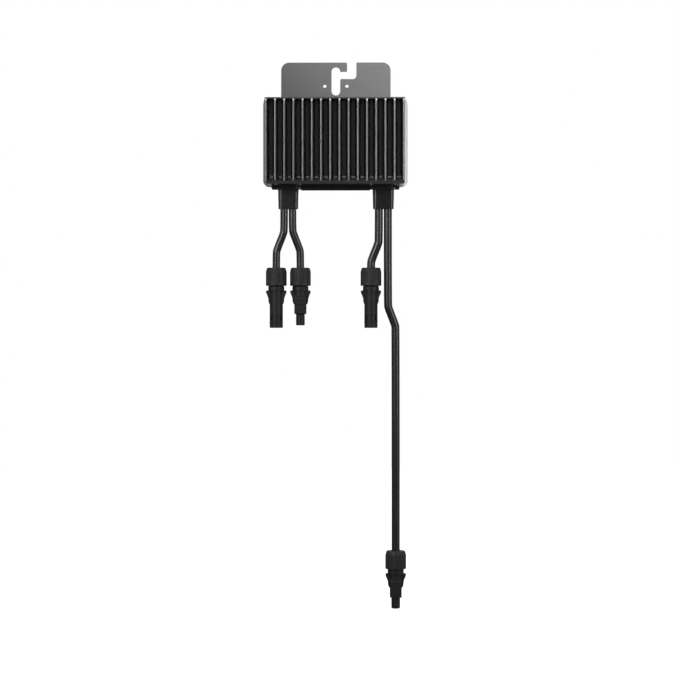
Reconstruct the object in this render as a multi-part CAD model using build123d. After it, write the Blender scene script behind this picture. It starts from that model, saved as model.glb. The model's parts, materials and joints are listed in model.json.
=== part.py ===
from build123d import *
import math
import os

# Solar module power optimizer: a finned die-cast housing on a hanging bracket, with two
# twin-cable glands and four leads that end in latching DC connectors.
# Millimetres.  X is to the right, Z is up and the fins face -Y.  The origin is the bolt seat
# at the top of the bracket's slot, on the bracket's back face.

# ---------------------------------------------------------------- driving dimensions
# bracket plate
PLATE_T = 2.0
PLATE_HALF_W = 54.7
PLATE_TOP = 9.0
PLATE_BOTTOM = -104.0
PLATE_CORNER_R = 8.0
SLOT_R = 4.32
SLOT_LOW_CENTRE = -19.55
CHANNEL_TOP = -0.15
CHANNEL_BOTTOM = -7.5
ENTRY_LEFT = 11.2
ENTRY_RIGHT = 20.45
PILOT_X = 11.05
PILOT_Z = -14.6
PILOT_R = 1.65
BRACKET_SCREW_R = 2.0
BRACKET_HEAD_R = 3.9
BRACKET_HEAD_T = 1.8

# cover and housing
COVER_T = 3.0
BODY_X = -0.4
BODY_HALF_W = 72.1
BODY_TOP = -30.7
BODY_BOTTOM = -115.6
TOP_CORNER_R = 4.0
BOTTOM_CORNER_R = 6.5
FIN_COUNT = 16
FIN_PITCH = 9.0
FIN_TIP_W = 1.5
FIN_TIP_R = 0.65
FIN_ROOT_W = 4.2
FIN_TIP_Y = -48.0
LIP_FRONT_Y = -45.5
GROOVE_FLOOR_Y = -28.0
CAVITY_FRONT_Y = -24.5
CAVITY_HALF_W = 66.8
CAVITY_TOP = -34.6
CAVITY_BOTTOM = -109.9
TOP_LIP_T = 1.3
LEDGE_T = 3.1
RAMP_TOP = -106.5
NECK_HALF_W = 63.3
NECK_FRONT_Y = -31.0
NECK_BACK_Y = -8.0
NECK_BOTTOM = -116.2
RETAINER_T = 2.4
RETAINER_HEAD_T = 1.5
RETAINER_SCREW_TIP = -111.0
RIB_HALF_W = 34.2
RIB_D = 4.5
RIB_DROP = 2.1
GASKET_W = 1.4
GASKET_T = 1.2
COVER_SCREW_R = 1.75
COVER_HEAD_R = 3.3
COVER_HEAD_T = 1.7
COVER_SCREW_TIP = -15.0

# circuit board and what it carries
BOARD_HALF_W = 57.5
BOARD_TOP = -37.0
BOARD_BOTTOM = -104.5
TERMINAL_TOP = -95.8
TERMINAL_BOTTOM = -103.8
BOARD_BACK_Y = -9.0
BOARD_T = 1.6
PAD_T = 1.0
MOSFET_T = 4.4

# glands and leads; the input pair is a little thinner than the output pair
INPUT_CABLE_R = 3.8
INPUT_OFFSET = 4.15
INPUT_GLAND_W = 20.2
OUTPUT_CABLE_R = 4.05
OUTPUT_OFFSET = 4.45
OUTPUT_GLAND_W = 21.2
INPUT_X = -46.85
OUTPUT_X = 47.25
CABLE_Y = -19.0
GLAND_BOTTOM = -138.4
RUNNING_GAP = 0.05
FLANGE_GAP = 0.1
SHORT_NUT_TOP = -196.7
LONG_NUT_TOP = -476.8

# connectors, measured down from the top of the cap nut
NUT_R = 10.3
NUT_TOP_R = 9.2
NUT_SHOULDER = 3.9
NUT_LENGTH = 17.8
NUT_BORE_R = 8.15
NUT_HOLE_R = 4.75
NUT_ROOF = 4.2
NUT_FLUTES = 14
FLUTE_R = 1.7
FLUTE_DEPTH = 0.62
FLUTE_END = 14.6
THREAD_ROOT_R = 7.3
THREAD_CREST_R = 7.75
THREAD_PITCH = 1.5
BARREL_TOP = 5.6
BARREL_BORE_R = 6.45
SEAL_FLOOR = 13.0
SEAL_R = 5.0
NECK_R = 8.0
NECK_END = 22.8
CORE_R = 6.55
WING_HALF_T = 3.6
WING_END = 36.2
SLEEVE_END = 59.5
SLEEVE_BORE_R = 4.9
SLEEVE_FLOOR = 39.0
NOSE_R = 4.35
NOSE_END = 57.0
RING_GROOVE_TOP = 37.8
RING_GROOVE_END = 39.8
CONTACT_R = 2.6
PIN_R = 2.0
PIN_END = 54.6
LATCH_END = 45.7
LATCH_HALF_W = 5.8
LATCH_INNER = 6.4
LATCH_T = 1.4
HINGE_DEPTH = 37.0

COVER_BACK_Y = -PLATE_T
COVER_FRONT_Y = COVER_BACK_Y - COVER_T
BOARD_FRONT_Y = BOARD_BACK_Y - BOARD_T
BODY_MID_Z = (BODY_TOP + BODY_BOTTOM) / 2
BODY_H = BODY_TOP - BODY_BOTTOM

BOARD_BOSSES = [(-54.0, -42.0), (54.0, -42.0), (-54.0, -86.0), (54.0, -86.0)]
COVER_SCREWS = [(x, z) for x in (-62.8, 62.8) for z in (-38.0, -72.0, -105.0)]
BRACKET_SCREWS = [(x, z) for x in (-40.0, 40.0) for z in (-48.0, -94.0)]
RETAINER_SCREWS = [-30.0, 0.0, 30.0]
INPUT_XS = [INPUT_X - INPUT_OFFSET, INPUT_X + INPUT_OFFSET]
OUTPUT_XS = [OUTPUT_X - OUTPUT_OFFSET, OUTPUT_X + OUTPUT_OFFSET]


# ---------------------------------------------------------------- helpers
def block(x0, x1, y0, y1, z0, z1):
    """A box between two corners."""
    return Pos((x0 + x1) / 2, (y0 + y1) / 2, (z0 + z1) / 2) * Box(abs(x1 - x0), abs(y1 - y0), abs(z1 - z0))


def upright(x, y, z0, z1, r):
    """A cylinder along Z between two heights."""
    return Pos(x, y, (z0 + z1) / 2) * Cylinder(r, abs(z1 - z0))


def through(x, z, y0, y1, r):
    """A cylinder along Y between two depths."""
    return Pos(x, (y0 + y1) / 2, z) * Rot(90, 0, 0) * Cylinder(r, abs(y1 - y0))


def prism(face, y_back, y_front):
    """Extrude a face drawn in X and Z from y_back forwards to y_front."""
    plane = Plane((0, y_back, 0), x_dir=(1, 0, 0), z_dir=(0, -1, 0))
    return extrude(plane * face, amount=y_back - y_front)


def slab(face, z_low, z_high, taper=0.0):
    """Extrude a face drawn in X and Y down from z_high to z_low."""
    plane = Plane((0, 0, z_high), x_dir=(1, 0, 0), z_dir=(0, 0, -1))
    return extrude(plane * mirror(face, about=Plane.XZ), amount=z_high - z_low, taper=taper)


def corners_near(sketch, points, reach=0.2):
    """The sketch's corners that lie at the given points."""
    return [v for v in sketch.vertices() if any(math.hypot(v.X - x, v.Y - z) < reach for x, z in points)]


def turned(profile):
    """Revolve a radius-depth outline about Z; depths are measured downwards."""
    points = [(r, -depth) for r, depth in profile]
    return revolve(Plane.XZ * make_face(Polyline(*points, close=True)), axis=Axis.Z)


def countersunk(x, z, seat_y, tip_y, head_r, shaft_r, head_t):
    """The outer shape of a countersunk screw along -Y, its head flush with seat_y."""
    head = Pos(x, seat_y - head_t / 2, z) * Rot(-90, 0, 0) * Cone(shaft_r, head_r, head_t)
    return head + through(x, z, seat_y - head_t, tip_y, shaft_r)


def countersunk_screw(x, z, seat_y, tip_y, head_r, shaft_r, head_t, socket_r):
    """A countersunk screw with a hexagon socket."""
    socket = prism(Pos(x, z) * RegularPolygon(socket_r, 6), seat_y + 1, seat_y - head_t * 0.6)
    return countersunk(x, z, seat_y, tip_y, head_r, shaft_r, head_t) - socket


def save(name, *solids):
    """Write one named piece, or one group of like pieces, as a STEP file."""
    shape = solids[0] if len(solids) == 1 else Compound(children=list(solids))
    shape.label = name
    export_step(shape, "parts/" + name + ".step")


# ---------------------------------------------------------------- bracket
def bracket_opening():
    """Hanging slot with its side channel and the entry that is open at the top edge."""
    slot = Pos(0, (SLOT_LOW_CENTRE) / 2) * Rot(0, 0, 90) * SlotCenterToCenter(-SLOT_LOW_CENTRE, 2 * SLOT_R)
    channel = Pos(ENTRY_RIGHT / 2, (CHANNEL_TOP + CHANNEL_BOTTOM) / 2)
    channel = channel * Rectangle(ENTRY_RIGHT, CHANNEL_TOP - CHANNEL_BOTTOM)
    entry_h = PLATE_TOP + 2 - CHANNEL_BOTTOM
    entry = Pos((ENTRY_LEFT + ENTRY_RIGHT) / 2, CHANNEL_BOTTOM + entry_h / 2)
    entry = entry * Rectangle(ENTRY_RIGHT - ENTRY_LEFT, entry_h)
    return slot + channel + entry


def mounting_bracket():
    height = PLATE_TOP - PLATE_BOTTOM
    mid_z = (PLATE_TOP + PLATE_BOTTOM) / 2
    plate = Pos(0, mid_z) * RectangleRounded(2 * PLATE_HALF_W, height, PLATE_CORNER_R)
    plate = plate - bracket_opening()
    plate = fillet(corners_near(plate, [(ENTRY_RIGHT, CHANNEL_BOTTOM)]), 3.5)
    plate = fillet(corners_near(plate, [(SLOT_R, CHANNEL_BOTTOM)]), 1.5)
    plate = fillet(corners_near(plate, [(ENTRY_LEFT, CHANNEL_TOP)]), 1.2)
    plate = fillet(corners_near(plate, [(ENTRY_LEFT, PLATE_TOP), (ENTRY_RIGHT, PLATE_TOP)]), 1.0)
    for side in (-1, 1):
        plate = plate - Pos(side * PILOT_X, PILOT_Z) * Circle(PILOT_R)
    solid = prism(plate, 0, -PLATE_T)
    for x, z in BRACKET_SCREWS:
        solid = solid - countersunk(x, z, 0, -PLATE_T - 1, BRACKET_HEAD_R, BRACKET_SCREW_R, BRACKET_HEAD_T)
    return solid


# ---------------------------------------------------------------- cover and its seal
def body_outline():
    """Rounded outline of the housing seen from the front, in X and Z."""
    outline = Pos(BODY_X, BODY_MID_Z) * Rectangle(2 * BODY_HALF_W, BODY_H)
    tops = [v for v in outline.vertices() if v.Y > BODY_MID_Z]
    outline = fillet(tops, TOP_CORNER_R)
    bottoms = [v for v in outline.vertices() if v.Y < BODY_BOTTOM + 0.1]
    return fillet(bottoms, BOTTOM_CORNER_R)


def gasket_outline():
    top = BODY_TOP - 1.1
    bottom = BODY_BOTTOM + 1.3
    half_w = BODY_HALF_W - 1.5
    outer = Pos(BODY_X, (top + bottom) / 2) * RectangleRounded(2 * half_w, top - bottom, 3.5)
    inner = Pos(BODY_X, (top + bottom) / 2)
    inner = inner * RectangleRounded(2 * (half_w - GASKET_W), top - bottom - 2 * GASKET_W, 2.1)
    return outer - inner


def cover_gasket():
    return prism(gasket_outline(), COVER_FRONT_Y, COVER_FRONT_Y - GASKET_T)


def back_cover():
    cover = prism(body_outline(), COVER_BACK_Y, COVER_FRONT_Y)
    for x, z in BRACKET_SCREWS:
        cover = cover + through(x, z, COVER_FRONT_Y + 0.5, COVER_FRONT_Y - 2.8, 4.2)
    for x, z in BRACKET_SCREWS:
        cover = cover - through(x, z, 0, -12, BRACKET_SCREW_R)
    for x, z in COVER_SCREWS:
        cover = cover - countersunk(x, z, COVER_BACK_Y, -20, COVER_HEAD_R, COVER_SCREW_R, COVER_HEAD_T)
    return cover


def cover_screws():
    sizes = (COVER_HEAD_R, COVER_SCREW_R, COVER_HEAD_T, 1.25)
    return [countersunk_screw(x, z, COVER_BACK_Y, COVER_SCREW_TIP, *sizes) for x, z in COVER_SCREWS]


def bracket_screws():
    sizes = (BRACKET_HEAD_R, BRACKET_SCREW_R, BRACKET_HEAD_T, 1.45)
    return [countersunk_screw(x, z, 0, -7.0, *sizes) for x, z in BRACKET_SCREWS]


# ---------------------------------------------------------------- finned housing
def fin_centres():
    return [BODY_X + (i - (FIN_COUNT - 1) / 2) * FIN_PITCH for i in range(FIN_COUNT)]


def comb_profile():
    """Cross-section of the housing from above, with drafted fins, in X and Y."""
    centres = fin_centres()
    points = [(BODY_X - BODY_HALF_W, COVER_FRONT_Y), (centres[0] - FIN_TIP_W / 2, FIN_TIP_Y)]
    for left, right in zip(centres, centres[1:]):
        points.append((left + FIN_TIP_W / 2, FIN_TIP_Y))
        points.append((left + FIN_ROOT_W / 2, GROOVE_FLOOR_Y))
        points.append((right - FIN_ROOT_W / 2, GROOVE_FLOOR_Y))
        points.append((right - FIN_TIP_W / 2, FIN_TIP_Y))
    points.append((centres[-1] + FIN_TIP_W / 2, FIN_TIP_Y))
    points.append((BODY_X + BODY_HALF_W, COVER_FRONT_Y))
    face = make_face(Polyline(*points, close=True))
    face = fillet([v for v in face.vertices() if abs(v.Y - FIN_TIP_Y) < 0.1], FIN_TIP_R)
    return fillet([v for v in face.vertices() if abs(v.Y - GROOVE_FLOOR_Y) < 0.1], 1.2)


def envelope_profile():
    """The same cross-section with its grooves filled."""
    left = fin_centres()[0] - FIN_TIP_W / 2
    right = fin_centres()[-1] + FIN_TIP_W / 2
    points = [(BODY_X - BODY_HALF_W, COVER_FRONT_Y), (left, FIN_TIP_Y), (right, FIN_TIP_Y)]
    points.append((BODY_X + BODY_HALF_W, COVER_FRONT_Y))
    face = make_face(Polyline(*points, close=True))
    return fillet([v for v in face.vertices() if abs(v.Y - FIN_TIP_Y) < 0.1], FIN_TIP_R)


def across(points):
    """A solid drawn in Y and Z and swept across the housing's whole width."""
    plane = Plane((BODY_X - BODY_HALF_W - 5, 0, 0), x_dir=(0, 1, 0), z_dir=(1, 0, 0))
    return extrude(plane * make_face(Polyline(*points, close=True)), amount=2 * BODY_HALF_W + 10)


def side_outline():
    """Outline of the housing from the side: a top lip, with the fins' ends chamfered below it."""
    lip_z = BODY_TOP - TOP_LIP_T
    slope = LIP_FRONT_Y - FIN_TIP_Y
    points = [(COVER_FRONT_Y, BODY_BOTTOM), (COVER_FRONT_Y, BODY_TOP), (LIP_FRONT_Y, BODY_TOP)]
    points += [(LIP_FRONT_Y, lip_z), (FIN_TIP_Y, lip_z - slope)]
    return across(points + [(FIN_TIP_Y, BODY_BOTTOM + 0.3), (FIN_TIP_Y + 0.3, BODY_BOTTOM)])


def groove_ramp():
    """The floor that carries every groove forward to the ledge under the fins."""
    ledge_z = BODY_BOTTOM + LEDGE_T
    points = [(COVER_FRONT_Y, BODY_BOTTOM), (COVER_FRONT_Y, RAMP_TOP), (GROOVE_FLOOR_Y, RAMP_TOP)]
    points += [(GROOVE_FLOOR_Y - 3, RAMP_TOP - 2.4), (FIN_TIP_Y, ledge_z), (FIN_TIP_Y, BODY_BOTTOM)]
    return across(points)


def heatsink_housing():
    body = slab(comb_profile(), BODY_BOTTOM, BODY_TOP)
    body = body + slab(envelope_profile(), BODY_TOP - TOP_LIP_T, BODY_TOP)
    body = body + (slab(envelope_profile(), BODY_BOTTOM, BODY_TOP) & groove_ramp())
    body = body & prism(body_outline(), COVER_FRONT_Y, FIN_TIP_Y - 1)
    body = body & side_outline()
    neck_w = 2 * NECK_HALF_W
    neck_d = NECK_BACK_Y - NECK_FRONT_Y
    neck = Pos(0, (NECK_BACK_Y + NECK_FRONT_Y) / 2) * RectangleRounded(neck_w, neck_d, 3.0)
    body = body + slab(neck, NECK_BOTTOM, BODY_BOTTOM + 0.5)
    cavity_mid = (CAVITY_TOP + CAVITY_BOTTOM) / 2
    cavity = Pos(0, cavity_mid) * RectangleRounded(2 * CAVITY_HALF_W, CAVITY_TOP - CAVITY_BOTTOM, 4.0)
    body = body - prism(cavity, COVER_FRONT_Y + 1, CAVITY_FRONT_Y)
    for x, z in COVER_SCREWS:
        body = body + through(x, z, COVER_FRONT_Y, CAVITY_FRONT_Y - 0.5, 4.4)
    for x, z in BOARD_BOSSES:
        body = body + through(x, z, BOARD_FRONT_Y, CAVITY_FRONT_Y - 0.5, 3.0)
    pedestal_y = BOARD_FRONT_Y - MOSFET_T - PAD_T
    body = body + block(-41, 41, CAVITY_FRONT_Y - 0.5, pedestal_y, -51.0, -40.0)
    for x, z in COVER_SCREWS:
        body = body - through(x, z, 0, COVER_SCREW_TIP, COVER_SCREW_R)
    for x, z in BOARD_BOSSES:
        body = body - through(x, z, 0, -18.0, 1.5)
    body = body - prism(gasket_outline(), COVER_FRONT_Y + 1, COVER_FRONT_Y - GASKET_T)
    for x in (INPUT_X, OUTPUT_X):
        seat = Pos(x, CABLE_Y) * RectangleRounded(30.0, 19.0, 7.0)
        throat = Pos(x, CABLE_Y) * RectangleRounded(19.2, 10.6, 5.1)
        body = body - slab(seat, NECK_BOTTOM - 1, NECK_BOTTOM + 2.4)
        body = body - slab(throat, NECK_BOTTOM, CAVITY_BOTTOM + 1)
    for x in RETAINER_SCREWS:
        body = body - upright(x, CABLE_Y, NECK_BOTTOM - 1, RETAINER_SCREW_TIP, 1.5)
    return body


# ---------------------------------------------------------------- glands and their retainer
def gland(cable_xs, cable_r, tail_w):
    """Twin-cable strain relief: throat, captive flange, tapered collar and drafted tail."""
    centre = Pos(sum(cable_xs) / 2, CABLE_Y)
    throat = slab(centre * RectangleRounded(19.0, 10.4, 5.0), NECK_BOTTOM + 2.3, CAVITY_BOTTOM + 1.0)
    flange = centre * RectangleRounded(30.0 - 2 * FLANGE_GAP, 19.0 - 2 * FLANGE_GAP, 6.9)
    flange = slab(flange, NECK_BOTTOM, NECK_BOTTOM + 2.4 - FLANGE_GAP)
    collar = slab(centre * RectangleRounded(26.0, 16.4, 6.8), NECK_BOTTOM - 0.8, NECK_BOTTOM)
    funnel_z = NECK_BOTTOM - 3.4
    funnel = slab(centre * RectangleRounded(26.0, 16.4, 6.8), funnel_z, NECK_BOTTOM - 0.8, taper=45.0)
    tail = slab(centre * RectangleRounded(tail_w, 12.0, 3.7), GLAND_BOTTOM, funnel_z + 0.1, taper=1.3)
    body = throat + flange + collar + funnel + tail
    for x in cable_xs:
        body = body - upright(x, CABLE_Y, -150, -90, cable_r + RUNNING_GAP)
    return body


def gland_retainer():
    """Plate under the neck: a notch for each gland collar, and a front rib between them."""
    plate = Pos(0, -19.25) * RectangleRounded(126.2, 22.5, 2.0)
    for x in (INPUT_X, OUTPUT_X):
        notch = Pos(x, -22.0) * RectangleRounded(26.4, 22.8, 6.9)
        mouth = Pos(x, -32.0) * Rectangle(26.4, 14.0)
        plate = plate - notch - mouth
    body = slab(plate, NECK_BOTTOM - RETAINER_T, NECK_BOTTOM)
    rib_x = (INPUT_X + OUTPUT_X) / 2 - 0.6
    rib = Pos(rib_x, -30.5 + RIB_D / 2) * RectangleRounded(2 * RIB_HALF_W, RIB_D, 2.0)
    body = body + slab(rib & plate, NECK_BOTTOM - RETAINER_T - RIB_DROP, NECK_BOTTOM - 0.5)
    head_z = NECK_BOTTOM - RETAINER_T + RETAINER_HEAD_T
    for x in RETAINER_SCREWS:
        body = body - upright(x, CABLE_Y, -125, -100, 1.5)
        body = body - upright(x, CABLE_Y, NECK_BOTTOM - 5, head_z, 2.7)
    return body


def retainer_screws():
    screws = []
    head_z = NECK_BOTTOM - RETAINER_T + RETAINER_HEAD_T
    for x in RETAINER_SCREWS:
        head = upright(x, CABLE_Y, NECK_BOTTOM - RETAINER_T, head_z, 2.7)
        shank = upright(x, CABLE_Y, head_z, RETAINER_SCREW_TIP, 1.5)
        socket = slab(Pos(x, CABLE_Y) * RegularPolygon(1.4, 6), NECK_BOTTOM - 5, head_z - 0.6)
        screws.append(head + shank - socket)
    return screws


def cable_tails(xs, cable_r):
    """The ends of the leads inside the gland and housing, up to their terminals."""
    return [upright(x, CABLE_Y, GLAND_BOTTOM, TERMINAL_BOTTOM, cable_r) for x in xs]


# ---------------------------------------------------------------- inside the housing
def circuit_board():
    height = BOARD_TOP - BOARD_BOTTOM
    board = Pos(0, (BOARD_TOP + BOARD_BOTTOM) / 2) * RectangleRounded(2 * BOARD_HALF_W, height, 2.0)
    for x, z in BOARD_BOSSES:
        board = board - Pos(x, z) * Circle(1.5)
    return prism(board, BOARD_BACK_Y, BOARD_FRONT_Y)


def board_screws():
    screws = []
    for x, z in BOARD_BOSSES:
        head = through(x, z, BOARD_BACK_Y + 1.6, BOARD_BACK_Y, 2.7)
        shank = through(x, z, BOARD_BACK_Y, -17.0, 1.5)
        socket = prism(Pos(x, z) * RegularPolygon(1.25, 6), BOARD_BACK_Y + 2, BOARD_BACK_Y + 0.6)
        screws.append(head + shank - socket)
    return screws


def inductor_core(x):
    """Ferrite core with three legs."""
    outline = Pos(x, -68.5) * RectangleRounded(28.0, 24.0, 1.0)
    for side in (-1, 1):
        outline = outline - Pos(x + side * 7.0, -68.5) * Rectangle(5.6, 16.0)
    return prism(outline, -13.0, -21.0)


def inductor_winding(x):
    """Copper coil around the core's middle leg."""
    ring = Pos(x, -17.0) * RectangleRounded(19.2, 12.4, 2.0)
    ring = ring - Pos(x, -17.0) * RectangleRounded(8.4, 8.2, 0.1)
    return slab(ring, -76.3, -60.7)


def board_part(x, z, w, h, t, r=0.6):
    """A moulded part standing on the front of the board."""
    return prism(Pos(x, z) * RectangleRounded(w, h, r), BOARD_FRONT_Y, BOARD_FRONT_Y - t)


def film_capacitors():
    small = [board_part(side * 26.0, -91.5, 16.0, 12.0, 9.0, 1.2) for side in (-1, 1)]
    tall = [board_part(side * 46.0, -68.5, 12.0, 24.0, 11.0, 1.2) for side in (-1, 1)]
    return small + tall


def mosfets():
    return [board_part(x, -45.5, 10.0, 9.2, MOSFET_T) for x in (-35, -21, -7, 7, 21, 35)]


def thermal_pads():
    back = BOARD_FRONT_Y - MOSFET_T
    return [block(x0, x1, back, back - PAD_T, -50.5, -40.5) for x0, x1 in ((-40.5, -1.0), (1.0, 40.5))]


def control_chips():
    chips = [board_part(-6.0, -89.5, 10.0, 10.0, 1.2, 0.3)]
    chips.append(board_part(8.5, -87.0, 6.0, 5.0, 1.4, 0.3))
    chips.append(board_part(8.5, -94.5, 8.0, 4.0, 1.4, 0.3))
    return chips


def comms_transformer():
    return board_part(0.0, -66.5, 11.0, 10.0, 8.0, 1.0)


def wire_terminals():
    """Clamp blocks in which the four lead ends are fastened."""
    terminals = []
    for x in INPUT_XS + OUTPUT_XS:
        body = block(x - 4.1, x + 4.1, BOARD_FRONT_Y, -23.0, TERMINAL_BOTTOM, TERMINAL_TOP)
        screw_well = through(x, (TERMINAL_BOTTOM + TERMINAL_TOP) / 2, -24.0, -20.5, 2.2)
        terminals.append(body - screw_well)
    return terminals


# ---------------------------------------------------------------- connectors
def cap_nut():
    """Fluted compression nut that screws up the connector's thread."""
    profile = [(0, 0), (NUT_TOP_R - 0.4, 0), (NUT_TOP_R, 0.3), (NUT_R, NUT_SHOULDER)]
    profile.append((NUT_R, NUT_LENGTH - 0.4))
    body = turned(profile + [(NUT_R - 0.4, NUT_LENGTH), (0, NUT_LENGTH)])
    flute_ring = NUT_R + FLUTE_R - FLUTE_DEPTH
    for i in range(NUT_FLUTES):
        angle = 2 * math.pi * (i + 0.5) / NUT_FLUTES
        x = flute_ring * math.cos(angle)
        y = flute_ring * math.sin(angle)
        body = body - upright(x, y, 1, -FLUTE_END, FLUTE_R)
    body = body - upright(0, 0, -NUT_ROOF, -NUT_LENGTH - 1, NUT_BORE_R)
    return body - upright(0, 0, 1, -NUT_LENGTH, NUT_HOLE_R)


def clamp_cage():
    """Slotted cage that the cap nut presses round the cable seal."""
    body = turned([(5.25, 4.4), (7.3, 4.4), (7.3, 5.2), (6.25, 5.2), (6.25, 11.6), (5.25, 11.6)])
    for i in range(6):
        slot = Rot(0, 0, 60 * i) * block(4.5, 8.0, -0.5, 0.5, -12.0, -6.4)
        body = body - slot
    return body


def cable_seal(cable_r):
    """Rubber sleeve squeezed onto the cable."""
    bore_r = cable_r + RUNNING_GAP
    return turned([(bore_r, 5.8), (SEAL_R, 5.8), (SEAL_R, SEAL_FLOOR), (bore_r, SEAL_FLOOR)])


def barrel_profile():
    """Outer outline of the threaded barrel and neck, from the top down."""
    points = [(THREAD_ROOT_R, BARREL_TOP)]
    depth = BARREL_TOP + 0.6
    while depth + THREAD_PITCH < NUT_LENGTH:
        points.append((THREAD_ROOT_R, depth))
        points.append((THREAD_CREST_R, depth + 0.45))
        points.append((THREAD_CREST_R, depth + 0.75))
        points.append((THREAD_ROOT_R, depth + 1.2))
        depth += THREAD_PITCH
    points.append((THREAD_ROOT_R, NUT_LENGTH + 0.3))
    points.append((NECK_R, NUT_LENGTH + 0.9))
    points.append((NECK_R, NECK_END))
    points.append((CORE_R, NECK_END))
    return points


def wings():
    """Two side wings, flat on top and curving in to the body below."""
    outline = [(5.0, 22.5), (9.8, 22.5), (10.0, 22.8), (10.0, 24.7), (9.5, 25.8), (8.65, 27.7), (8.0, 29.7)]
    outline += [(7.75, 31.0), (7.7, 32.8), (7.2, 34.7), (6.8, 35.7), (6.3, WING_END), (5.0, WING_END)]
    pair = None
    for side in (-1, 1):
        face = make_face(Polyline(*[(side * x, -depth) for x, depth in outline], close=True))
        wing = prism(face, WING_HALF_T, -WING_HALF_T)
        pair = wing if pair is None else pair + wing
    return pair


def connector_core(outer, inner):
    """Revolved housing: threaded barrel, then the given outer and inner outlines."""
    profile = barrel_profile() + outer + inner
    profile += [(CONTACT_R + RUNNING_GAP, SEAL_FLOOR), (BARREL_BORE_R, SEAL_FLOOR)]
    profile.append((BARREL_BORE_R, BARREL_TOP))
    return turned(profile) + wings()


def sleeve_housing():
    """Connector half whose sleeve takes the other half's nose, with two latch recesses."""
    bead = SLEEVE_END - 6.4
    outer = [(CORE_R, bead), (CORE_R + 0.2, bead + 0.3), (CORE_R + 0.2, bead + 0.8), (CORE_R, bead + 1.1)]
    outer += [(CORE_R, SLEEVE_END - 0.5), (CORE_R - 0.5, SLEEVE_END)]
    inner = [(SLEEVE_BORE_R + 0.5, SLEEVE_END), (SLEEVE_BORE_R, SLEEVE_END - 0.8)]
    inner += [(SLEEVE_BORE_R, SLEEVE_FLOOR), (CONTACT_R + RUNNING_GAP, SLEEVE_FLOOR)]
    body = connector_core(outer, inner)
    top = bead - 6.1
    end = bead - 0.8
    ring = turned([(CORE_R - 0.8, top), (CORE_R + 1, top), (CORE_R + 1, end), (CORE_R - 0.8, end)])
    for side in (-1, 1):
        body = body - (ring & block(-5.3, 5.3, 0.5 * side, 8 * side, -end - 1, -top + 1))
    return body


def nose_housing():
    """Connector half with a nose and two seats for its latch arms."""
    groove_r = NOSE_R - 0.5
    outer = [(CORE_R, WING_END), (NOSE_R, WING_END), (NOSE_R, RING_GROOVE_TOP), (groove_r, RING_GROOVE_TOP)]
    outer += [(groove_r, RING_GROOVE_END), (NOSE_R, RING_GROOVE_END), (NOSE_R, NOSE_END - 0.8)]
    outer += [(NOSE_R - 0.6, NOSE_END)]
    inner = [(CONTACT_R + RUNNING_GAP, NOSE_END)]
    body = connector_core(outer, inner)
    latch_outer = LATCH_INNER + LATCH_T
    for side in (-1, 1):
        outline = [(0, 27.4), (5.9, 27.4), (latch_outer, 30.9), (latch_outer, WING_END), (0, WING_END)]
        face = make_face(Polyline(*[(side * y, -depth) for y, depth in outline], close=True))
        plane = Plane((-LATCH_HALF_W, 0, 0), x_dir=(0, 1, 0), z_dir=(1, 0, 0))
        seat = extrude(plane * face, amount=2 * LATCH_HALF_W)
        body = body + (seat - upright(0, 0, -20, -40, CORE_R - 1))
    return body


def latch_arm(side):
    """Springy arm that pivots at its root and hooks over the other half's sleeve."""
    outer = LATCH_INNER + LATCH_T
    mid = LATCH_INNER + LATCH_T / 2
    outline = [(LATCH_INNER, HINGE_DEPTH), (outer, HINGE_DEPTH), (outer, LATCH_END - 0.6)]
    outline += [(outer - 0.5, LATCH_END), (LATCH_INNER - 0.3, LATCH_END)]
    outline.append((LATCH_INNER - 0.8, LATCH_END - 0.9))
    outline += [(LATCH_INNER - 0.8, LATCH_END - 1.5), (LATCH_INNER, LATCH_END - 1.6)]
    face = make_face(Polyline(*[(side * y, -depth) for y, depth in outline], close=True))
    plane = Plane((-LATCH_HALF_W, 0, 0), x_dir=(0, 1, 0), z_dir=(1, 0, 0))
    arm = extrude(plane * face, amount=2 * LATCH_HALF_W)
    root = Pos(0, side * mid, -HINGE_DEPTH) * Rot(0, 90, 0) * Cylinder(LATCH_T / 2, 2 * LATCH_HALF_W)
    return arm + root


def nose_o_ring():
    """Seal in the groove at the root of the nose."""
    inner_r = NOSE_R - 0.5
    outer_r = NOSE_R + 0.45
    top = RING_GROOVE_TOP + 0.1
    end = RING_GROOVE_END - 0.1
    profile = [(inner_r, top), (outer_r - 0.2, top), (outer_r, top + 0.5), (outer_r, end - 0.5)]
    return turned(profile + [(outer_r - 0.2, end), (inner_r, end)])


def pin_contact():
    shoulder = SLEEVE_FLOOR + 0.6
    profile = [(0, SEAL_FLOOR), (CONTACT_R, SEAL_FLOOR), (CONTACT_R, shoulder), (PIN_R, shoulder)]
    profile += [(PIN_R, PIN_END - 1.2), (1.2, PIN_END), (0, PIN_END)]
    return turned(profile)


def socket_contact():
    end = NOSE_END - 1.2
    profile = [(0, SEAL_FLOOR), (CONTACT_R, SEAL_FLOOR), (CONTACT_R, end), (PIN_R + 0.05, end)]
    profile += [(PIN_R + 0.05, SLEEVE_FLOOR), (0, SLEEVE_FLOOR)]
    return turned(profile)


def save_connector(name, x, nut_top, kind, cable_r):
    """Write every piece of one connector, hanging with its cap nut's top at nut_top."""
    place = Pos(x, CABLE_Y, nut_top)
    save(name + "_cap_nut", place * cap_nut())
    save(name + "_clamp_cage", place * clamp_cage())
    save(name + "_cable_seal", place * cable_seal(cable_r))
    if kind == "sleeve":
        save(name + "_sleeve_housing", place * sleeve_housing())
        save(name + "_pin_contact", place * pin_contact())
        return
    save(name + "_nose_housing", place * nose_housing())
    save(name + "_socket_contact", place * socket_contact())
    save(name + "_nose_o_ring", place * nose_o_ring())
    save(name + "_latch_front", place * latch_arm(-1))
    save(name + "_latch_rear", place * latch_arm(1))


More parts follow.
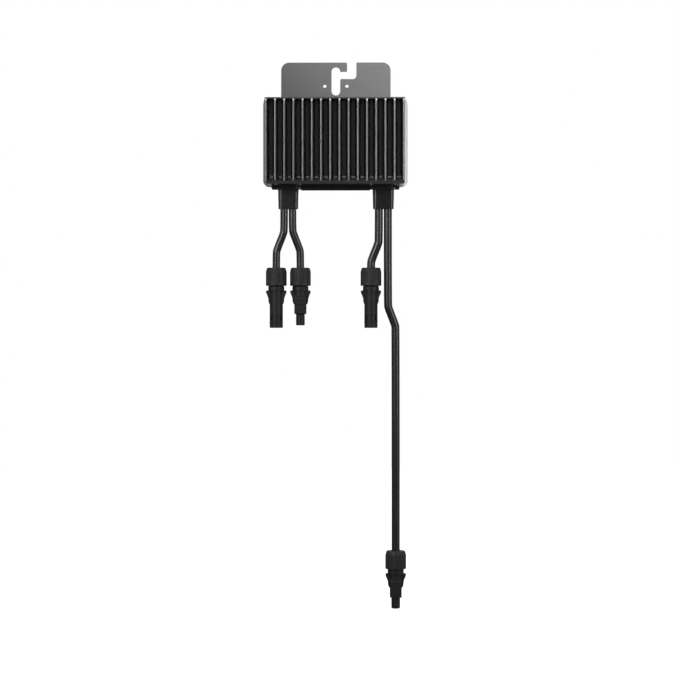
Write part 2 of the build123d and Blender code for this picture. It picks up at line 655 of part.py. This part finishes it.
# ---------------------------------------------------------------- leads
# Each route is a list of (x, z) points at the glands' depth.  A lead leaves its gland straight
# down, steps sideways between two tight bends and runs straight into its connector.
LEAD_ROUTES = {
    "input_lead_a": [(-51.0, -138.4), (-51.0, -159.2), (-51.75, -163.1), (-58.05, -178.6), (-58.8, -182.5),
                     (-58.8, -209.7)],
    "input_lead_b": [(-42.7, -138.4), (-42.7, -158.6), (-41.95, -162.5), (-35.65, -178.2), (-34.9, -182.1),
                     (-34.9, -209.7)],
    "output_lead_short": [(42.8, -138.4), (42.8, -169.4), (42.05, -173.3), (35.75, -188.7), (35.0, -192.6),
                          (35.0, -209.7)],
    "output_lead_long": [(51.7, -138.4), (51.7, -232.9), (52.45, -236.8), (58.75, -252.8), (59.5, -256.7),
                         (59.5, -489.8)],
}
LEAD_RADII = {
    "input_lead_a": INPUT_CABLE_R,
    "input_lead_b": INPUT_CABLE_R,
    "output_lead_short": OUTPUT_CABLE_R,
    "output_lead_long": OUTPUT_CABLE_R,
}


def lead(name):
    """A cable as straight runs joined by arcs as large as the runs allow."""
    cable_r = LEAD_RADII[name]
    points = [Vector(x, CABLE_Y, z) for x, z in LEAD_ROUTES[name]]
    radii = []
    for before, corner, after in zip(points, points[1:], points[2:]):
        turn = math.radians((corner - before).get_angle(after - corner))
        shorter = min((corner - before).length, (after - corner).length)
        radii.append(0.45 * shorter / math.tan(turn / 2))
    path = FilletPolyline(*points, radius=radii)
    section = Plane(path @ 0, z_dir=path % 0) * Circle(cable_r)
    tube = sweep(section, path=path)
    expected = math.pi * cable_r ** 2 * path.length
    print(name, "length", round(path.length, 1), "radii", [round(r, 1) for r in radii])
    print(name, "volume", round(tube.volume), "expected", round(expected))
    return tube


def lead_end(name):
    """How far right of the origin a lead enters its connector."""
    return LEAD_ROUTES[name][-1][0]


# ---------------------------------------------------------------- write every piece
os.makedirs("parts", exist_ok=True)
save("mounting_bracket", mounting_bracket())
save("bracket_screws", *bracket_screws())
save("back_cover", back_cover())
save("cover_screws", *cover_screws())
save("cover_gasket", cover_gasket())
save("heatsink_housing", heatsink_housing())
save("input_gland", gland(INPUT_XS, INPUT_CABLE_R, INPUT_GLAND_W))
save("output_gland", gland(OUTPUT_XS, OUTPUT_CABLE_R, OUTPUT_GLAND_W))
save("gland_retainer", gland_retainer())
save("retainer_screws", *retainer_screws())
save("input_cable_tails", *cable_tails(INPUT_XS, INPUT_CABLE_R))
save("output_cable_tails", *cable_tails(OUTPUT_XS, OUTPUT_CABLE_R))
save("circuit_board", circuit_board())
save("board_screws", *board_screws())
save("inductor_cores", inductor_core(-22.0), inductor_core(22.0))
save("inductor_windings", inductor_winding(-22.0), inductor_winding(22.0))
save("film_capacitors", *film_capacitors())
save("mosfets", *mosfets())
save("thermal_pads", *thermal_pads())
save("control_chips", *control_chips())
save("comms_transformer", comms_transformer())
save("wire_terminals", *wire_terminals())
for lead_name in LEAD_ROUTES:
    save(lead_name, lead(lead_name))
save_connector("input_a", lead_end("input_lead_a"), SHORT_NUT_TOP, "sleeve", INPUT_CABLE_R)
save_connector("input_b", lead_end("input_lead_b"), SHORT_NUT_TOP, "nose", INPUT_CABLE_R)
save_connector("output_short", lead_end("output_lead_short"), SHORT_NUT_TOP, "sleeve", OUTPUT_CABLE_R)
save_connector("output_long", lead_end("output_lead_long"), LONG_NUT_TOP, "nose", OUTPUT_CABLE_R)
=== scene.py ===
import json
import math

import bpy
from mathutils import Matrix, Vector


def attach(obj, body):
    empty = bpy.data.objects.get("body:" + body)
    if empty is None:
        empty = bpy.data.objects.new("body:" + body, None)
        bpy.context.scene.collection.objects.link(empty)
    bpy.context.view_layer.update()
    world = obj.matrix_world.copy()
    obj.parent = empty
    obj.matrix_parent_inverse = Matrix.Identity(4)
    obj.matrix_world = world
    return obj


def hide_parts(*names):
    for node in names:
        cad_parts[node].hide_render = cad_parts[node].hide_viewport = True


# Finned solar power optimizer hanging on its bracket, with four leads and their connectors.
# Metres, in the CAD frame: X right, Z up, fins facing -Y, origin at the bracket's bolt seat.

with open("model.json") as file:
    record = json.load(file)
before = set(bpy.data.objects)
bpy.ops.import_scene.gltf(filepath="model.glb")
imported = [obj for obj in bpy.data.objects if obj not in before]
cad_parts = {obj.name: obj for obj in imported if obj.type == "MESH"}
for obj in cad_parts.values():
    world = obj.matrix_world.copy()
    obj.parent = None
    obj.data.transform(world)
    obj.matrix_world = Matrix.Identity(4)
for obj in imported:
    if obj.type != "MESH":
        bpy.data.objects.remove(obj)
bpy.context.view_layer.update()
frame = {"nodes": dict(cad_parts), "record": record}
nodes = frame["nodes"]
MM = 0.001

# ---------------------------------------------------------------- camera
VIEW_TARGET = Vector((0.0041, 0.0, -0.2682))
VIEW_DISTANCE = 2.0
VIEW_AZIMUTH = math.radians(0.7)
VIEW_ELEVATION = math.radians(0.0)
VIEW_LENS_MM = 105.88
VIEW_SENSOR_MM = 36.0
VIEW_CLIP_NEAR = 0.05
VIEW_CLIP_FAR = 30.0


def add_camera():
    """Long lens almost straight in front, level, just below the ends of the short connectors."""
    data = bpy.data.cameras.new("view_camera")
    data.lens = VIEW_LENS_MM
    data.sensor_width = VIEW_SENSOR_MM
    data.clip_start = VIEW_CLIP_NEAR
    data.clip_end = VIEW_CLIP_FAR
    camera = bpy.data.objects.new("view_camera", data)
    level = math.cos(VIEW_ELEVATION)
    away = Vector((math.sin(VIEW_AZIMUTH) * level, -math.cos(VIEW_AZIMUTH) * level, math.sin(VIEW_ELEVATION)))
    camera.location = VIEW_TARGET + VIEW_DISTANCE * away
    camera.rotation_euler = away.to_track_quat("Z", "Y").to_euler()
    bpy.context.scene.collection.objects.link(camera)
    bpy.context.scene.camera = camera


add_camera()

# ---------------------------------------------------------------- leads
# Routes are (x, z) points in millimetres at one depth; diameters and lengths are in metres.
CABLE_DEPTH = -19.0
JACKET_RING_STEPS = 10
JACKET_SPAN_STEPS = 16
LEADS = {
    "input_lead_a": {
        "connector": "input_a",
        "diameter": 0.0076,
        "length": 0.0726,
        "route": [(-51.0, -138.4), (-51.0, -159.2), (-51.75, -163.1), (-58.05, -178.6), (-58.8, -182.5),
                  (-58.8, -209.7)],
    },
    "input_lead_b": {
        "connector": "input_b",
        "diameter": 0.0076,
        "length": 0.0726,
        "route": [(-42.7, -138.4), (-42.7, -158.6), (-41.95, -162.5), (-35.65, -178.2), (-34.9, -182.1),
                  (-34.9, -209.7)],
    },
    "output_lead_short": {
        "connector": "output_short",
        "diameter": 0.0081,
        "length": 0.0726,
        "route": [(42.8, -138.4), (42.8, -169.4), (42.05, -173.3), (35.75, -188.7), (35.0, -192.6),
                  (35.0, -209.7)],
    },
    "output_lead_long": {
        "connector": "output_long",
        "diameter": 0.0081,
        "length": 0.3527,
        "route": [(51.7, -138.4), (51.7, -232.9), (52.45, -236.8), (58.75, -252.8), (59.5, -256.7),
                  (59.5, -489.8)],
    },
}


def add_lead(name, facts):
    """One cable: a smooth curve through its route, hanging from its gland to its connector."""
    curve = bpy.data.curves.new(name + "_jacket", "CURVE")
    curve.dimensions = "3D"
    curve.bevel_depth = 1.0
    curve.bevel_resolution = JACKET_RING_STEPS
    curve.use_fill_caps = True
    points = [Vector((x * MM, CABLE_DEPTH * MM, z * MM)) for x, z in facts["route"]]
    spline = curve.splines.new("NURBS")
    spline.points.add(len(points) - 1)
    for knot, point in zip(spline.points, points):
        knot.co = (*point, 1.0)
        knot.radius = facts["diameter"] / 2
    spline.order_u = 3
    spline.use_endpoint_u = True
    spline.resolution_u = JACKET_SPAN_STEPS
    cable = bpy.data.objects.new(name + "_jacket", curve)
    bpy.context.scene.collection.objects.link(cable)
    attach(cable, "optimizer")
    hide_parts(name)
    return cable


leads = [add_lead(name, facts) for name, facts in LEADS.items()]


# ---------------------------------------------------------------- materials
class Graph:
    """A short way to write a node material in object coordinates."""

    def __init__(self, name):
        self.material = bpy.data.materials.new(name)
        self.material.use_nodes = True
        self.tree = self.material.node_tree
        self.shader = self.tree.nodes["Principled BSDF"]
        self.place = self.tree.nodes.new("ShaderNodeTexCoord").outputs["Object"]

    def node(self, kind, links=None, **settings):
        """Add a node; links gives its inputs, each a socket to join or a value to set."""
        made = self.tree.nodes.new(kind)
        for key, value in settings.items():
            setattr(made, key, value)
        for socket, value in (links or {}).items():
            if isinstance(value, bpy.types.NodeSocket):
                self.tree.links.new(value, made.inputs[socket])
            else:
                made.inputs[socket].default_value = value
        return made

    def stretched(self, scale):
        """Object coordinates scaled along each axis, for streaks."""
        return self.node("ShaderNodeMapping", {"Vector": self.place, "Scale": scale}).outputs["Vector"]

    def noise(self, scale, detail=4.0, roughness=0.55, at=None):
        """Fractal noise, in object coordinates unless others are given."""
        links = {"Vector": at or self.place, "Scale": scale, "Detail": detail, "Roughness": roughness}
        return self.node("ShaderNodeTexNoise", links).outputs["Fac"]

    def span(self, value, low, high, start=0.3, end=0.7):
        """Map a value between start and end to the range low to high."""
        links = {"Value": value, "From Min": start, "From Max": end, "To Min": low, "To Max": high}
        return self.node("ShaderNodeMapRange", links).outputs["Result"]

    def blend(self, factor, first, second):
        """Mix two colours by a factor."""
        links = {0: factor, 6: (*first, 1.0) if isinstance(first, tuple) else first}
        links[7] = (*second, 1.0) if isinstance(second, tuple) else second
        return self.node("ShaderNodeMix", links, data_type="RGBA").outputs[2]

    def bump(self, height, strength, distance, under=None):
        """Relief from a height, on top of another relief if one is given."""
        links = {"Height": height, "Strength": strength, "Distance": distance}
        if under is not None:
            links["Normal"] = under
        return self.node("ShaderNodeBump", links).outputs["Normal"]

    def feed(self, socket, value):
        """Give the shader a constant or a varying input."""
        if isinstance(value, bpy.types.NodeSocket):
            self.tree.links.new(value, self.shader.inputs[socket])
        else:
            self.shader.inputs[socket].default_value = value


def moulded(name, dark, light, rough=(0.45, 0.6), grain=2500.0, relief=0.25, specular=0.25):
    """Moulded plastic or rubber: fine spark-eroded grain and slow changes of tone and gloss."""
    g = Graph(name)
    slow = g.noise(45.0, 3.0)
    g.feed("Base Color", g.blend(g.span(slow, 0.0, 1.0), dark, light))
    g.feed("Roughness", g.span(g.noise(160.0, 5.0), rough[0], rough[1]))
    g.feed("Specular IOR Level", specular)
    fine = g.bump(g.noise(grain, 2.0), relief, 0.00006)
    g.feed("Normal", g.bump(slow, 0.08, 0.0006, fine))
    return g.material


# Height at which painted shade starts to darken the ledge under the fins, and how far below that it is
# darkest.
LEDGE_SHADE_LINE = -0.1110
LEDGE_SHADE_FADE = 0.0015
BLACK = (0.0, 0.0, 0.0)


def coated_metal_with_painted_light(name, dark, light, rough=(0.30, 0.42), specular=0.5):
    """Black powder coat over die-cast aluminium, with painted light lighter to the right and painted shade on
    the bottom ledge.
    """
    g = Graph(name)
    speckle = g.noise(30.0, 4.0)
    split = g.node("ShaderNodeSeparateXYZ", {"Vector": g.place})
    # Painted light: the coat grows lighter towards the right.
    painted_light_drift = g.span(split.outputs["X"], 0.0, 1.0, -0.05, 0.08)
    # Painted shade: the coat darkens on the bottom ledge under the fins.
    low = g.span(split.outputs["Z"], 0.8, 0.0, LEDGE_SHADE_LINE - LEDGE_SHADE_FADE, LEDGE_SHADE_LINE)
    shade = g.blend(low, g.blend(painted_light_drift, dark, light), BLACK)
    g.feed("Base Color", g.blend(g.span(speckle, 0.0, 0.12), shade, BLACK))
    g.feed("Roughness", g.span(g.noise(240.0, 4.0), rough[0], rough[1]))
    g.feed("Specular IOR Level", specular)
    peel = g.bump(g.noise(420.0, 2.0), 0.06, 0.00004)
    g.feed("Normal", g.bump(g.noise(3200.0, 2.0), 0.1, 0.00002, peel))
    return g.material


def bare_metal(name, dark, light, rough=(0.35, 0.5), streaks=(1.0, 1.0, 1.0), scale=900.0):
    """Bare metal with rolled or turned streaks."""
    g = Graph(name)
    lines = g.noise(scale, 4.0, 0.6, g.stretched(streaks))
    slow = g.noise(14.0, 3.0)
    g.feed("Base Color", g.blend(g.span(slow, 0.0, 1.0), dark, light))
    g.feed("Metallic", 1.0)
    g.feed("Roughness", g.span(lines, rough[0], rough[1]))
    g.feed("Normal", g.bump(lines, 0.12, 0.00003))
    return g.material


def rolled_plate_with_painted_light(name):
    """Satin steel sheet: faint rolling streaks, and painted light that lightens the colour towards one
    corner.
    """
    g = Graph(name)
    lines = g.noise(500.0, 4.0, 0.6, g.stretched((0.06, 1.0, 1.0)))
    # Painted light: the base colour lightens towards the upper right.
    across = g.node("ShaderNodeVectorMath", {0: g.place, 1: (8.0, 0.0, 5.0)}, operation="DOT_PRODUCT")
    painted_light_drift = g.span(across.outputs["Value"], 0.0, 1.0, -0.55, 0.5)
    g.feed("Base Color", g.blend(painted_light_drift, (0.097, 0.097, 0.097), (0.27, 0.27, 0.27)))
    g.feed("Metallic", 1.0)
    g.feed("Roughness", g.span(lines, 0.42, 0.55))
    g.feed("Normal", g.bump(lines, 0.12, 0.00003))
    return g.material


def jacket(name):
    """Extruded cable jacket: satin black with faint marks along its length."""
    g = Graph(name)
    drawn = g.noise(700.0, 3.0, 0.5, g.stretched((1.0, 1.0, 0.04)))
    tone = g.span(g.noise(60.0), 0.0, 1.0)
    g.feed("Base Color", g.blend(tone, (0.004, 0.004, 0.004), (0.007, 0.007, 0.0067)))
    g.feed("Roughness", g.span(drawn, 0.28, 0.36))
    g.feed("Specular IOR Level", 0.4)
    fine = g.bump(g.noise(2600.0, 2.0), 0.15, 0.00004)
    g.feed("Normal", g.bump(drawn, 0.18, 0.00006, fine))
    return g.material


def solder_mask(name):
    """Circuit board: green mask with traces showing through as lighter bands."""
    g = Graph(name)
    links = {"Vector": g.stretched((140.0, 1.0, 140.0)), "Scale": 1.0}
    cells = g.node("ShaderNodeTexVoronoi", links, feature="DISTANCE_TO_EDGE").outputs["Distance"]
    tracks = g.span(cells, 0.0, 1.0, 0.04, 0.07)
    g.feed("Base Color", g.blend(tracks, (0.012, 0.10, 0.035), (0.008, 0.055, 0.022)))
    g.feed("Roughness", g.span(g.noise(300.0), 0.25, 0.38))
    g.feed("Normal", g.bump(tracks, 0.3, 0.00004))
    return g.material


MATERIALS = {
    "bracket_steel": rolled_plate_with_painted_light("bracket_steel"),
    "housing_black": coated_metal_with_painted_light("housing_black", (0.045, 0.045, 0.048), (0.085, 0.085, 0.090),
                                  (0.18, 0.26), 1.0),
    "cover_black": coated_metal_with_painted_light("cover_black", (0.008, 0.008, 0.009), (0.012, 0.012, 0.013), (0.35, 0.5)),
    "retainer_black": moulded("retainer_black", (0.013, 0.013, 0.013), (0.019, 0.019, 0.019), (0.7, 0.85),
                              specular=0.08),
    "seal_rubber": moulded("seal_rubber", (0.010, 0.010, 0.010), (0.018, 0.018, 0.018), (0.6, 0.75)),
    "thermal_pad": moulded("thermal_pad", (0.30, 0.38, 0.44), (0.36, 0.45, 0.52), (0.6, 0.8), 900.0),
    "screw_steel": bare_metal("screw_steel", (0.50, 0.50, 0.51), (0.60, 0.60, 0.60), (0.25, 0.4)),
    "board_green": solder_mask("board_green"),
    "ferrite": moulded("ferrite", (0.03, 0.03, 0.032), (0.05, 0.05, 0.052), (0.55, 0.75), 1200.0),
    "copper": bare_metal("copper", (0.60, 0.22, 0.09), (0.74, 0.32, 0.15), (0.22, 0.35)),
    "capacitor_case": moulded("capacitor_case", (0.16, 0.17, 0.19), (0.20, 0.21, 0.23), (0.3, 0.42), 1500.0),
    "chip_black": moulded("chip_black", (0.010, 0.010, 0.011), (0.016, 0.016, 0.017), (0.45, 0.6)),
    "terminal_plastic": moulded("terminal_plastic", (0.02, 0.10, 0.04), (0.03, 0.14, 0.06), (0.35, 0.5)),
    "cable_jacket": jacket("cable_jacket"),
    "gland_plastic": moulded("gland_plastic", (0.003, 0.003, 0.003), (0.005, 0.005, 0.005), (0.28, 0.36),
                             specular=0.4),
    "connector_nut": moulded("connector_nut", (0.009, 0.0095, 0.0095), (0.014, 0.0147, 0.0147), (0.5, 0.62),
                             1900.0, 0.4),
    "connector_body": moulded("connector_body", (0.004, 0.0042, 0.0042), (0.007, 0.0073, 0.0073),
                              (0.48, 0.6)),
    "cage_plastic": moulded("cage_plastic", (0.03, 0.03, 0.03), (0.045, 0.045, 0.045)),
    "contact_metal": bare_metal("contact_metal", (0.66, 0.65, 0.60), (0.76, 0.75, 0.71), (0.18, 0.3)),
}


def dress(piece, slot):
    """Give a piece one material."""
    piece.data.materials.clear()
    piece.data.materials.append(MATERIALS[slot])


for entry in frame["record"]["subparts"]:
    dress(nodes[entry["node"]], entry["material_slot"])
for cable in leads:
    dress(cable, "cable_jacket")


# ---------------------------------------------------------------- stage and light
FLOOR_Z = -2.2
FLOOR_REACH = 60.0
FLOOR_GLOW_NEAR = 0.35
FLOOR_GLOW_FAR = 1.0
FLOOR_FADE_START = 3.0
FLOOR_FADE_END = 9.0

# Brightness of the surroundings: as the camera sees them, and as the object reflects them.
BACKDROP = 1.0
SURROUND_FRONT = 0.16
SURROUND_BACK_LEFT = 0.22
SURROUND_BACK_RIGHT = 0.5

# Rectangular lights: name, azimuth, elevation, distance, width, height, glow, and the height aimed
# at.  Azimuth 0 is in front of the fins, positive to the right.
SOFTBOXES = [
    ("right_softbox", 50, 0, 1.7, 0.55, 1.0, 9.0, 0.18),
    ("left_softbox", -31, 0, 1.9, 0.65, 0.75, 17.0, 0.35),
    ("edge_softbox", -75, 0, 1.3, 0.4, 0.5, 4.0, 0.2),
    ("wall_softbox", 168, 0, 1.5, 0.3, 0.8, 0.8, 0.0),
    ("rim_softbox", 180, 45, 1.6, 1.4, 0.9, 1.5, -0.2),
    ("overhead_softbox", 10, 82, 1.5, 1.0, 0.7, 8.0, -0.2),
]


def add_floor():
    """Pale floor well below the object, fading to white far away.

    Diffuse and glossy rays pass it, so it neither lights the object nor shows in reflections.
    """
    mesh = bpy.data.meshes.new("floor")
    sides = [(-1, -1), (1, -1), (1, 1), (-1, 1)]
    mesh.from_pydata([(x * FLOOR_REACH, y * FLOOR_REACH, FLOOR_Z) for x, y in sides], [], [(0, 1, 2, 3)])
    floor = bpy.data.objects.new("floor", mesh)
    floor.visible_diffuse = False
    floor.visible_glossy = False
    bpy.context.scene.collection.objects.link(floor)
    g = Graph("floor_white")
    far = g.node("ShaderNodeVectorMath", {0: g.place}, operation="LENGTH").outputs["Value"]
    g.feed("Base Color", (0.85, 0.85, 0.85, 1.0))
    g.feed("Roughness", 0.9)
    g.feed("Emission Color", (1.0, 1.0, 1.0, 1.0))
    glow = g.span(far, FLOOR_GLOW_NEAR, FLOOR_GLOW_FAR, FLOOR_FADE_START, FLOOR_FADE_END)
    g.feed("Emission Strength", glow)
    mesh.materials.append(g.material)


def add_softbox(name, azimuth, elevation, distance, width, height, glow, aim_height):
    """A rectangular light, aimed at a height above the origin."""
    data = bpy.data.lights.new(name, "AREA")
    data.shape = "RECTANGLE"
    data.size = width
    data.size_y = height
    data.energy = glow * math.pi * width * height
    light = bpy.data.objects.new(name, data)
    az = math.radians(azimuth)
    el = math.radians(elevation)
    away = Vector((math.sin(az) * math.cos(el), -math.cos(az) * math.cos(el), math.sin(el)))
    light.location = Vector((0.0, 0.0, aim_height)) + distance * away
    light.rotation_euler = away.to_track_quat("Z", "Y").to_euler()
    bpy.context.scene.collection.objects.link(light)


def add_world():
    """White backdrop for the camera; the object reflects dimmer surroundings, brightest behind it."""
    world = bpy.data.worlds.new("studio")
    world.use_nodes = True
    tree = world.node_tree
    background = tree.nodes["Background"]
    background.inputs["Color"].default_value = (1.0, 1.0, 1.0, 1.0)
    way = tree.nodes.new("ShaderNodeTexCoord")
    split = tree.nodes.new("ShaderNodeSeparateXYZ")
    tree.links.new(way.outputs["Generated"], split.inputs["Vector"])

    def ramp(value, start, end, low, high):
        """Map a value between start and end smoothly to the range low to high."""
        made = tree.nodes.new("ShaderNodeMapRange")
        made.interpolation_type = "SMOOTHSTEP"
        settings = {"From Min": start, "From Max": end, "To Min": low, "To Max": high}
        for socket, number in settings.items():
            if isinstance(number, bpy.types.NodeSocket):
                tree.links.new(number, made.inputs[socket])
            else:
                made.inputs[socket].default_value = number
        tree.links.new(value, made.inputs["Value"])
        return made.outputs["Result"]

    behind = ramp(split.outputs["X"], -0.1, 0.1, SURROUND_BACK_LEFT, SURROUND_BACK_RIGHT)
    around = ramp(split.outputs["Y"], -0.55, 0.15, SURROUND_FRONT, behind)
    seen = tree.nodes.new("ShaderNodeLightPath").outputs["Is Camera Ray"]
    tree.links.new(ramp(seen, 0.0, 1.0, around, BACKDROP), background.inputs["Strength"])
    bpy.context.scene.world = world


add_floor()
add_world()
for softbox in SOFTBOXES:
    add_softbox(*softbox)
bpy.context.scene.view_settings.view_transform = "Standard"
